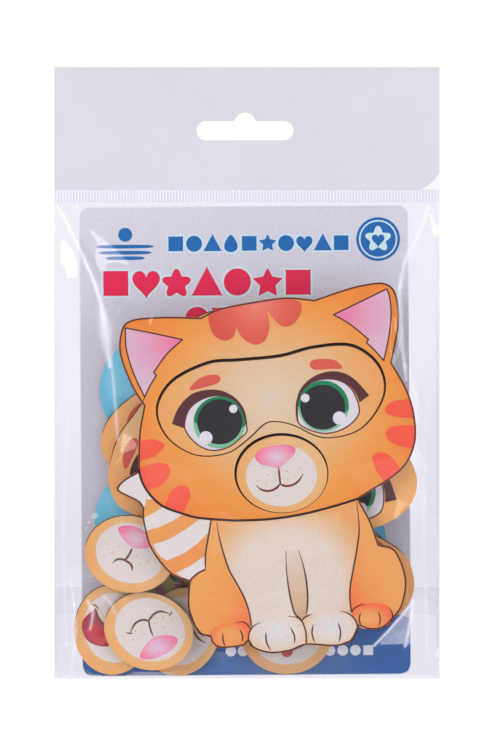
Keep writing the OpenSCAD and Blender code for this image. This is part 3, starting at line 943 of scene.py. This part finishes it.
dress("kitten_face_layer", M["head"])
dress("kitten_base_layer", M["wood"])
for i in range(1, 7):
    dress(f"eye_insert_{i}", EYES[i])
    lo, hi = box_mm(f"muzzle_insert_{i}")
    c = ((lo[0] + hi[0]) / 2, (lo[2] + hi[2]) / 2)
    rim = radial((c[0] + 3, c[1] + 3), (20, 20),
        [(0.3, (238, 192, 134)), (0.62, (239, 182, 116)), (1, (240, 168, 92))])
    dress(f"muzzle_insert_{i}", printed(f"ink_muzzle_ground_{i}", rim, edge=True))
for i in range(1, 4):
    lo, hi = box_mm(f"blue_disc_{i}")
    c = ((lo[0] + hi[0]) / 2, (lo[2] + hi[2]) / 2)
    # blue lightest up and to the left and darker away from there: painted shade from the board lying over
    # the discs
    blue = radial((c[0] - 8, c[1] + 8), (34, 34),
        [(0.1, (130, 217, 246)), (0.6, (108, 199, 232)), (1, (84, 170, 204))])
    dress(f"blue_disc_{i}", printed(f"ink_disc_ground_and_painted_shade_{i}", blue, edge=True))

# ---------------------------------------------------------------- backing card


def shape(kind, c, r):
    """Plain printed shapes, about r in half-size."""
    c = np.array(c, float)
    if kind == "heart":
        u = np.linspace(0, 2 * np.pi, 40, endpoint=False)
        x = 16 * np.sin(u) ** 3 / 17
        z = (13 * np.cos(u) - 5 * np.cos(2 * u) - 2 * np.cos(3 * u) - np.cos(4 * u)) / 15
        return [c + r * np.array(p) for p in zip(x, z)]
    if kind == "star":
        u = np.radians(90 + 36 * np.arange(10))
        q = np.where(np.arange(10) % 2 == 0, 1.08, 0.55)
        return [c + r * s * np.array((math.cos(a), math.sin(a))) for a, s in zip(u, q)]
    if kind == "flower":
        u = np.linspace(0, 2 * np.pi, 60, endpoint=False)
        q = 0.82 + 0.2 * np.cos(5 * u)
        return [c + r * s * np.array((math.sin(a), math.cos(a))) for a, s in zip(u, q)]
    if kind == "square":
        return [c + r * 0.84 * np.array(p) for p in smooth([(-1, -0.9), (-0.9, -1), (0.9, -1),
            (1, -0.9), (1, 0.9), (0.9, 1), (-0.9, 1), (-1, 0.9)], 2, True)]
    if kind == "triangle":
        return [c + r * np.array(p) for p in smooth([(-0.98, -0.86), (0.98, -0.86), (1.0, -0.78),
            (0.06, 0.98), (-0.06, 0.98), (-1.0, -0.78)], 2, True)]
    if kind == "drop":
        u = np.linspace(0, 2 * np.pi, 40, endpoint=False)
        return [c + r * np.array((0.72 * math.sin(a) * (1 - 0.45 * math.cos(a)), math.cos(a))) for a in u]
    return ring(c, r * 0.92)


CARD = {
    "blue": card_print("card_blue", (16, 90, 166)),
    "title": card_print("card_title", (6, 104, 176)),
    "crimson": card_print("card_crimson", (234, 22, 78)),
    "halo": card_print("card_halo", (206, 232, 238)),
    "white": card_print("card_white", (232, 232, 240)),
    "yellow": card_print("card_yellow", (190, 168, 50)),
    "red": card_print("card_red", (178, 42, 88)),
    "teal": card_print("card_teal", (36, 62, 70)),
}


def card_node(t):
    """Printed front, grey board back and edges."""
    front = t.ramp(t.along((0, -26), (0, -182)),
        [(0, (216, 214, 224)), (0.5, (206, 203, 215)), (1, (198, 194, 208))])
    back = t.ramp(t.noise(1500, 3), [(0.3, (184, 178, 170)), (0.7, (194, 188, 180))])
    g = t.node("TexCoord")
    s = t.node("SeparateXYZ")
    t.link(g.outputs["Normal"], s.inputs[0])
    return t.mix(t.math("LESS_THAN", s.outputs["Y"], -0.5), back, front)


dress("backing_card", card_print("card_board", card_node), bevel=0)
card_front = box_mm("backing_card")[0][1]
card = Ink("card_print", "contents", card_front, "printed_card")
lean = math.radians(0.4)
card.turn = lambda p: (p[0] * math.cos(lean) - (p[1] + 104.4) * math.sin(lean) + 0.05,
    p[0] * math.sin(lean) + (p[1] + 104.4) * math.cos(lean) - 104.4)
# blue foot with a soft wave
wave = smooth([(-53.9, -175.0), (-40, -174.2), (-20, -170.5), (0, -166.6), (20, -163.4), (38, -161.6),
    (48, -161.4), (53.9, -163.2)], 5)
foot = wave + smooth([(53.9, -178), (53.0, -180.5), (50.6, -181.4)],
    3) + smooth([(-50.6, -181.4), (-53.0, -180.5), (-53.9, -178)], 3)


paint_order = itertools.count(1)
OVERLAP_STEP = 0.02  # share of a level that lifts each card shape over the one before


def cfill(pts, key, level, curve=0):
    card.fill(pts, CARD[key], level + next(paint_order) * OVERLAP_STEP, curve)


cfill(foot, "blue", 1)
# a plain mark, top left: a ball on three bars
cfill(ring((-39.0, -36.4), 2.3), "title", 1)
for z, half in ((-40.3, 7.6), (-42.3, 7.0), (-44.1, 5.2)):
    cfill(smooth([(-39 - half, z - 0.5), (-39 - half, z + 0.5), (-39 + half, z + 0.5),
        (-39 + half, z - 0.5)], 3, True), "title", 1)
# a row of small blue shapes where a title would be
kinds = ["square", "circle", "triangle", "drop", "square", "star", "circle", "heart", "triangle", "square"]
for j, kd in enumerate(kinds):
    at = (-22.4 + 6.05 * j, -39.5)
    cfill(shape(kd, at, 3.5), "halo", 1)
    cfill(shape(kd, at, 2.85), "title", 2)
# round mark, top right
cfill(ring((44.2, -38.4), 7.2), "title", 1)
cfill(ring((44.2, -38.4), 6.3), "halo", 2)
cfill(ring((44.2, -38.4), 5.8), "title", 3)
cfill(shape("flower", (44.2, -38.4), 4.3), "halo", 4)
cfill(shape("heart", (44.2, -38.6), 2.2), "title", 5)
# a row of big crimson shapes
for j, kd in enumerate(["square", "heart", "flower", "triangle", "circle", "star", "square"]):
    at = (-42.2 + 10.0 * j, -52.4 + 0.25 * math.sin(j * 2.1))
    cfill(shape(kd, at, 5.7), "halo", 1)
    cfill(shape(kd, at, 4.85), "crimson", 2)
for j, kd in enumerate(["circle", "square", "heart"]):
    at = (-15.5 + 8.6 * j, -64.2)
    cfill(shape(kd, at, 5.0), "halo", 1)
    cfill(shape(kd, at, 4.3), "crimson", 2)
# a small picture low on the left, mostly hidden; its dark teal dot is painted shade, standing for a blue
# disc in deep shadow
cfill(smooth([(-33, -146), (-25, -144.6), (-15, -146), (-12, -152), (-15, -160), (-25, -163),
    (-34, -158)], 5, True), "yellow", 1)
cfill(shape("star", (-21, -152.4), 2.8), "red", 2)
cfill(shape("drop", (-28.3, -153.6), 2.4), "red", 2)
cfill(shape("circle", (-22.8, -148.4), 2.6), "teal", 3)
# white shapes on the foot
for x in (-5.2, -1.2, 27.4, 31.6, 35.8, 40.0):
    kd = "circle" if int(abs(x)) % 2 else "square"
    cfill(shape(kd, (x, -173.6), 1.9), "white", 2)
card.build()
# the card's cut edge as a thin white line all round: painted highlight where the edge catches light
card_edge_highlight = Ink("card_rim_highlight", "contents", card_front, "printed_card")
card_edge_highlight.stroke(edge_of("backing_card", 0.16)[0], 0.3, CARD["white"], 1, curve=0, closed=True)
card_edge_highlight.build()

# ---------------------------------------------------------------- header and seal


def header_skin(t):
    cloud = t.ramp(t.noise(22, 4, 0.6), [(0.3, (206, 204, 211)), (0.7, (212, 210, 217))])
    return cloud


def rib_skin(t):
    """White on the raised ribs, a little greyer between them: painted shade in the grooves."""
    s = t.node("SeparateXYZ")
    t.link(t.coords(), s.inputs[0])
    low = box_mm("ribbed_seal")[0][1]
    up = t.math("LESS_THAN", s.outputs["Y"], (low + 0.08) * MM)
    return t.mix(up, lin((224, 221, 235)), lin((240, 239, 246)))


def header_mat(name, ground, rough, bump_s):
    t = Tree(name)
    b = t.node("BsdfPrincipled")
    t.link(ground(t), b.inputs["Base Color"])
    b.inputs["Specular IOR Level"].default_value = 0.35
    t.link(t.math("ADD", t.math("MULTIPLY", t.noise(60, 3), 0.2), rough), b.inputs["Roughness"])
    bump = t.node("Bump", Strength=bump_s, Distance=0.0007)
    t.link(t.noise(28, 3, 0.5), bump.inputs["Height"])
    t.link(bump.outputs[0], b.inputs["Normal"])
    t.link(b.outputs[0], t.out.inputs["Surface"])
    return t.mat


dress("header_strip", header_mat("header_film", header_skin, 0.38, 0.3), bevel=0)
dress("ribbed_seal", header_mat("seal_film", rib_skin, 0.25, 0.1), bevel=0)

# the header's lower right corner, turned over in a small lip, lighter than the header: painted highlight on
# the lifted lip
hlo, hhi = box_mm("header_strip")
v, f = [], []
for j in range(13):
    u = j / 12
    for i in range(7):
        w = i / 6
        x = 56.8 + (hhi[0] - 56.8) * u
        zb = hlo[2] + 0.1 + 5.4 * u**1.7
        z = zb - w * (zb - hlo[2] - 0.02)
        y = hlo[1] - 0.06 - 0.5 * math.sin(math.pi * w) * (0.3 + u)
        v.append((min(x, hhi[0]) * MM, y * MM, max(z, hlo[2] - 0.5) * MM))
for j in range(12):
    for i in range(6):
        a = j * 7 + i
        f.append((a, a + 1, a + 8, a + 7))
me = bpy.data.meshes.new("corner_fold")
me.from_pydata(v, [], f)
me.materials.append(header_mat("fold_film_painted_highlight", lambda t: t.ramp(t.noise(40, 3),
    [(0.3, (232, 231, 240)), (0.7, (246, 245, 252))]), 0.25, 0.15))
me.polygons.foreach_set("use_smooth", [True] * len(f))
me.update()
o = bpy.data.objects.new("corner_fold", me)
bpy.context.scene.collection.objects.link(o)
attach(o, "bag")

# ---------------------------------------------------------------- clear film over the contents

FILM = film("clear_film", crease_highlights=True)
# the back film greys towards the bottom: painted shade
FILM_BACK = film("clear_film_back", haze=0.008, crinkle=0.2, low=(236, 234, 244))
FILM_FLAP = film("flap_film_skin", haze=0.004, crinkle=0.2, clean=True, crease_highlights=True)
SEAM = film("film_seam", haze=0.30, tint=(250, 250, 255), crinkle=0.1)

inside = [n for n in NODES if n.startswith(("kitten", "eye", "muzzle", "blue", "backing"))]
groups = {"kitten": [n for n in inside if n.startswith("kitten") or n in ("eye_insert_1",
    "muzzle_insert_1")]}
groups["loose"] = [n for n in inside if n not in groups["kitten"]]
trees = {}
for g, names in groups.items():
    vs, fs = [], []
    for n in names:
        me = NODES[n].data
        k = len(vs)
        vs += [v.co.copy() for v in me.vertices]
        fs += [tuple(k + i for i in p.vertices) for p in me.polygons]
    trees[g] = BVHTree.FromPolygons(vs, fs)

lo, hi = box_mm("bag_back_film")
X0, X1, Z0, Z1 = lo[0], hi[0], lo[2], hi[2]
PITCH = 1.0
nx, nz = int((X1 - X0) / PITCH) + 1, int((Z1 - Z0) / PITCH) + 1
gx, gz = np.linspace(X0, X1, nx), np.linspace(Z0, Z1, nz)
need = np.zeros((nz, nx))
for g, rise, clear in (("loose", 3, 0.35), ("kitten", 6, 0.35)):
    depth = np.zeros((nz, nx))
    for j, z in enumerate(gz):
        for i, x in enumerate(gx):
            hit = trees[g].ray_cast(Vector((x * MM, -0.05, z * MM)), Vector((0, 1, 0)))
            if hit[0] is not None:
                depth[j, i] = -hit[0].y / MM + clear
    up = depth.copy()
    for s in range(1, rise + 1):
        up[s:] = np.maximum(up[s:], depth[:-s])
    # one cell of margin all round
    m = up.copy()
    for dj, di in ((1, 0), (-1, 0), (0, 1), (0, -1), (1, 1), (-1, -1), (1, -1), (-1, 1)):
        m = np.maximum(m, np.roll(np.roll(up, dj, 0), di, 1))
    need = np.maximum(need, m)
# room for the two inserts to lift
for n in ("eye_insert_1", "muzzle_insert_1"):
    a, b = box_mm(n)
    sel = (gx[None, :] > a[0] - 1.5) & (gx[None, :] < b[0] + 1.5) & (gz[:, None] > a[2] - 1.5) & (gz[:,
        None] < b[2] + 8)
    need = np.where(sel, np.maximum(need, -a[1] + 2.7 + 0.16), need)
h = np.maximum(need, 0.3)
edge_h = 0.22
for _ in range(1400):
    a = 0.25 * (np.roll(h, 1, 0) + np.roll(h, -1, 0) + np.roll(h, 1, 1) + np.roll(h, -1, 1))
    h = np.maximum(need, a)
    h[0], h[-1], h[:, 0], h[:, -1] = edge_h, edge_h + 0.1, edge_h, edge_h


def refine(a, k):
    """Bilinear refinement of a grid."""
    z = np.linspace(0, a.shape[0] - 1, (a.shape[0] - 1) * k + 1)
    x = np.linspace(0, a.shape[1] - 1, (a.shape[1] - 1) * k + 1)
    zi, xi = np.minimum(z.astype(int), a.shape[0] - 2), np.minimum(x.astype(int), a.shape[1] - 2)
    fz, fx = (z - zi)[:, None], (x - xi)[None, :]
    return (a[zi][:, xi] * (1 - fz) * (1 - fx) + a[zi + 1][:, xi] * fz * (1 - fx)
        + a[zi][:, xi + 1] * (1 - fz) * fx + a[zi + 1][:, xi + 1] * fz * fx)


h = refine(h, 2)
gx, gz = np.linspace(X0, X1, h.shape[1]), np.linspace(Z0, Z1, h.shape[0])
GX, GZ = np.meshgrid(gx, gz)
rng = np.random.default_rng(7)


def fold(p0, p1, width, amp):
    """A straight, tapering fold that stands out of the film."""
    p0, p1 = np.array(p0, float), np.array(p1, float)
    d = p1 - p0
    L = np.linalg.norm(d)
    d /= L
    s = ((GX - p0[0]) * d[0] + (GZ - p0[1]) * d[1]) / L
    q = -(GX - p0[0]) * d[1] + (GZ - p0[1]) * d[0]
    taper = np.clip(s / 0.25, 0, 1) * np.clip((1 - s) / 0.35, 0, 1)
    taper = taper * (s > 0) * (s < 1)
    return amp * taper * np.exp(-np.abs(q / width) ** 1.4)


folds = [
    ((-61, -26.5), (-43, -66), 1.5, 1.1), ((-47.4, -57), (-44, -96), 1.6, 0.8),
        ((-58, -27), (-20, -62), 2.0, 0.5),
    ((61, -27), (50.5, -57), 1.6, 1.1), ((52, -44), (51, -84), 1.2, 0.9), ((40, -27), (47, -54), 1.8, 0.5),
    ((42, -171), (55.5, -155), 1.3, 0.9), ((50, -181), (55.5, -156), 1.0, 0.7),
        ((-60, -180), (-50, -160), 1.2, 0.6),
    ((60, -181), (53, -166), 1.2, 0.7), ((-57, -100), (-58.5, -168), 1.0, 0.5),
        ((59, -95), (59.5, -160), 1.0, 0.5),
    ((-10, -26.5), (0, -58), 2.5, 0.4), ((-53, -182), (-51.5, -150), 1.0, 0.6),
]
fade = np.clip(np.minimum.reduce([GX - X0, X1 - GX, GZ - Z0, Z1 - GZ]) / 4.0, 0, 1)
crumple = np.zeros_like(h)
for f in folds:
    crumple += fold(*f)
for _ in range(26):
    a = rng.uniform(0, math.pi)
    w = rng.uniform(5, 16)
    ph = rng.uniform(0, 6.28)
    crumple += 0.03 * np.abs(np.sin((GX * math.cos(a) + GZ * math.sin(a)) / w + ph)) ** 3
room_left = np.clip(19.45 - h, 0, 2)
h = h + np.minimum(crumple * fade, room_left)


def streak(pts, widths, strength):
    """White line through the points on the film's grid: a painted highlight along a crease."""
    p = np.array(smooth(pts, 8))
    w = np.interp(np.linspace(0, 1, len(p)), np.linspace(0, 1, len(widths)), widths)
    m = np.zeros_like(GX)
    for (a, b, r) in zip(p, p[1:], w):
        d = b - a
        s = np.clip(((GX - a[0]) * d[0] + (GZ - a[1]) * d[1]) / float(d @ d + 1e-9), 0, 1)
        q = np.hypot(GX - a[0] - s * d[0], GZ - a[1] - s * d[1])
        m = np.maximum(m, strength * np.exp(-((q / r) ** 2)))
    return m


# painted highlights: white lines along the film's creases and folds
CREASE_HIGHLIGHTS = np.zeros_like(GX)
for pts, widths, strength in (
    ([(-62.4, -25.9), (-56, -38), (-50.5, -50), (-47.4, -58.2)], (0.5, 0.6, 0.5), 0.75),
    ([(-47.4, -57.5), (-45.5, -68), (-43.8, -80)], (0.4, 1.9, 0.5), 0.8),
    ([(-44.6, -66), (-42.6, -88), (-41.4, -104)], (0.5, 0.5, 0.4), 0.4),
    ([(60.5, -27.5), (56.6, -37.5), (52.4, -45.2), (50.1, -55.0)], (0.6, 0.8, 0.5), 0.75),
    ([(50.1, -54.5), (50.7, -66), (52.3, -84.4)], (0.5, 0.8, 0.4), 0.5),
    ([(42.2, -171.0), (48.8, -163.5), (54.8, -156.6)], (0.4, 0.5, 0.5), 0.8),
    ([(54.6, -157), (53.8, -164), (52.5, -171.4)], (0.5, 0.9, 0.5), 0.7),
    ([(-58, -95), (-59.5, -130), (-58.6, -172)], (0.3, 0.5, 0.4), 0.3),
    ([(59.6, -90), (58.7, -130), (60, -176)], (0.3, 0.5, 0.4), 0.3),
    ([(-57, -150), (-55.6, -166), (-57.2, -181)], (0.4, 0.8, 0.4), 0.35),
    ([(-60, -181.9), (-20, -182.0), (30, -181.9), (62, -182.0)], (0.35, 0.3, 0.35), 0.55),
    ([(-51.5, -156.5), (-49.8, -160.5), (-50.6, -166)], (0.35, 0.5, 0.3), 0.45),
    ([(-46.2, -155.2), (-44.0, -157.0), (-42.5, -160.5)], (0.3, 0.45, 0.3), 0.4),
):
    CREASE_HIGHLIGHTS = np.maximum(CREASE_HIGHLIGHTS, streak(pts, widths, strength))


# a faint filled triangle of painted sheen over the lower right
CREASE_HIGHLIGHTS = np.maximum(CREASE_HIGHLIGHTS,
    0.3 * ((GX - 42) * 15 - (GZ + 171) * 13 > 0) * (GX < 54.6) * (GX > 44) * (GZ > -171) * (GZ < -158))


def grid_mesh(name, depth, body, material, sign=-1.0, crease_highlights=None):
    nz, nx = depth.shape
    v = [(gx[i] * MM, sign * depth[j, i] * MM, gz[j] * MM) for j in range(nz) for i in range(nx)]
    f = [(j * nx + i, j * nx + i + 1, (j + 1) * nx + i + 1,
        (j + 1) * nx + i) for j in range(nz - 1) for i in range(nx - 1)]
    me = bpy.data.meshes.new(name)
    me.from_pydata(v, [], f)
    me.materials.append(material)
    me.polygons.foreach_set("use_smooth", [True] * len(f))
    if crease_highlights is not None:
        me.attributes.new("fold", "FLOAT", "POINT").data.foreach_set("value", crease_highlights.ravel().astype("f"))
    me.update()
    o = bpy.data.objects.new(name, me)
    bpy.context.scene.collection.objects.link(o)
    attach(o, body)
    return o


front = grid_mesh("front_film", h, "bag", FILM, crease_highlights=CREASE_HIGHLIGHTS)
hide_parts("bag_front_film")
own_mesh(front)

ripple = np.zeros_like(h)
for _ in range(14):
    a, w, ph = rng.uniform(0, math.pi), rng.uniform(6, 20), rng.uniform(0, 6.28)
    ripple += 0.02 * np.sin((GX * math.cos(a) + GZ * math.sin(a)) / w + ph)
back = grid_mesh("back_film", 0.1 + np.clip(ripple, -0.08, 0.08), "bag", FILM_BACK)
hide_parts("bag_back_film")

# side seams: the film's welded edges
for name, xa, xb in (("seam_left", X0, X0 + 1.3), ("seam_right", X1 - 1.3, X1)):
    k = Ink(name, "bag", -edge_h - 0.12, "clear_film")
    n = 60
    zs = np.linspace(Z0, Z1, n)
    pts = [(xa, z) for z in zs] + [(xb, z) for z in zs[::-1]]
    tris = []
    for i in range(n - 1):
        tris += [(i, i + 1, 2 * n - 1 - i), (i + 1, 2 * n - 2 - i, 2 * n - 1 - i)]
    k._put([np.array(p) for p in pts], tris, SEAM, 0)
    k.build()

# flap, folded up the back, with its glue strip
lo, hi = box_mm("closing_flap")
n1, n2 = 90, 24
v, f = [], []
for j in range(n2):
    for i in range(n1):
        x = lo[0] + (hi[0] - lo[0]) * i / (n1 - 1)
        s = j / (n2 - 1)
        z = lo[2] + 0.05 + (hi[2] - lo[2] - 0.05) * s
        ripple = 0.05 * math.sin(x / 7.0) + 0.03 * math.sin(x / 3.1 + 2)
        y = 0.25 + ripple * s - 0.19 * (1 - min(s * 9, 1)) ** 2
        v.append((x * MM, y * MM, z * MM))
for j in range(n2 - 1):
    for i in range(n1 - 1):
        a = j * n1 + i
        f.append((a, a + n1, a + n1 + 1, a + 1))
me = bpy.data.meshes.new("flap_film")
me.from_pydata(v, [], f)
# white lines along the flap's side and top edges: painted highlight
rim = [0.3 if i in (0, n1 - 1) or j == n2 - 1 else 0.0 for j in range(n2) for i in range(n1)]
me.attributes.new("fold", "FLOAT", "POINT").data.foreach_set("value", rim)
me.materials.append(FILM_FLAP)
me.polygons.foreach_set("use_smooth", [True] * len(f))
me.update()
flap = bpy.data.objects.new("flap_film", me)
bpy.context.scene.collection.objects.link(flap)
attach(flap, "flap")
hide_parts("closing_flap")
dress("flap_adhesive", film("glue_strip", haze=0.02, tint=(244, 244, 240), rough=0.3, crinkle=0.5,
    scale=300, clean=True), bevel=0)

# ---------------------------------------------------------------- floor

bpy.ops.mesh.primitive_circle_add(vertices=96, radius=1.7, fill_type="NGON", location=(0, 0, -0.42))
floor = bpy.context.object
floor.name = "floor"
t = Tree("floor")
b = t.node("BsdfPrincipled", Roughness=0.7)
t.link(t.ramp(t.noise(6, 2), [(0.3, (244, 244, 247)), (0.7, (247, 247, 250))]), b.inputs["Base Color"])
t.link(b.outputs[0], t.out.inputs["Surface"])
floor.data.materials.append(t.mat)
